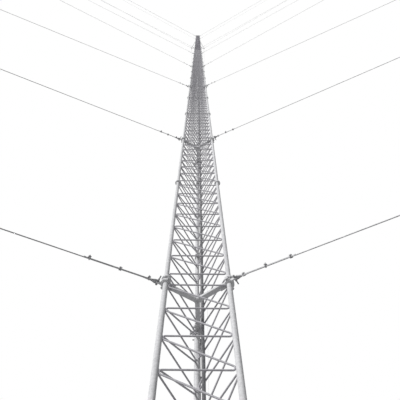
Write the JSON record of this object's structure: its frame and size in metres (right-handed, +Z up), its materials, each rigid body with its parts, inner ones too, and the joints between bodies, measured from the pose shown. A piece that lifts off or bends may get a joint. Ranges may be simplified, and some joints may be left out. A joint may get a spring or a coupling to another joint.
{
  "type": "1:10 scale model of a guyed lattice radio mast",
  "caption": "Scale model at 1:10 of a slender three-legged lattice radio mast with zigzag bar bracing, star frames and a torque frame, held by guys to ground anchors.",
  "frame": {"origin": "centre of the underside of the concrete pier, on the axis of the mast, at ground level", "axes": "+Z up along the mast; +Y towards the north leg; +X along the south face, from the west leg to the east leg; each line of anchors is turned 1.6 degrees clockwise, seen from above, from the bearing of its leg"},
  "size_m": [11.6414, 10.2443, 9.6187],
  "materials": {
    "galvanised_tube": "weathered hot-dip galvanised",
    "galvanised_bar": "dull galvanised round bar",
    "weathered_steel_beam": "dull dark galvanised",
    "fitting_steel": "dull galvanised forging",
    "cable_sheath": "dull weathered cable sheath",
    "guy_rope": "galvanised wire strand",
    "concrete": "cast concrete"
  },
  "bodies": {
    "root": {"base_plate": "galvanised_tube", "cable_clamps": "fitting_steel", "concrete_pier": "concrete", "east_face_lower_bracing": "galvanised_bar", "east_face_upper_bracing": "galvanised_bar", "east_leg_base": "galvanised_tube", "east_leg_shaft": "galvanised_tube", "feeder_cable": "cable_sheath", "guys_level_1": "guy_rope", "guys_level_2": "guy_rope", "guys_level_3": "guy_rope", "guys_level_4": "guy_rope", "guys_level_5": "guy_rope", "guys_level_6": "guy_rope", "guys_level_7": "guy_rope", "guys_level_8": "guy_rope", "guys_level_9": "guy_rope", "inner_anchor_blocks": "concrete", "inner_anchor_rods": "galvanised_tube", "inner_fan_plates": "galvanised_tube", "inner_turnbuckles": "fitting_steel", "joint_flanges": "galvanised_tube", "leg_collars": "fitting_steel", "mast_shackles": "fitting_steel", "middle_anchor_blocks": "concrete", "middle_anchor_rods": "galvanised_tube", "middle_fan_plates": "galvanised_tube", "middle_turnbuckles": "fitting_steel", "north_leg_base": "galvanised_tube", "north_leg_shaft": "galvanised_tube", "outer_anchor_blocks": "concrete", "outer_anchor_rods": "galvanised_tube", "outer_fan_plates": "galvanised_tube", "outer_turnbuckles": "fitting_steel", "south_face_lower_bracing": "galvanised_bar", "south_face_upper_bracing": "galvanised_bar", "star_frames": "weathered_steel_beam", "top_plate": "galvanised_tube", "torque_frame": "weathered_steel_beam", "west_face_lower_bracing": "galvanised_bar", "west_face_upper_bracing": "galvanised_bar", "west_leg_base": "galvanised_tube", "west_leg_shaft": "galvanised_tube"}
  },
  "joints": []
}
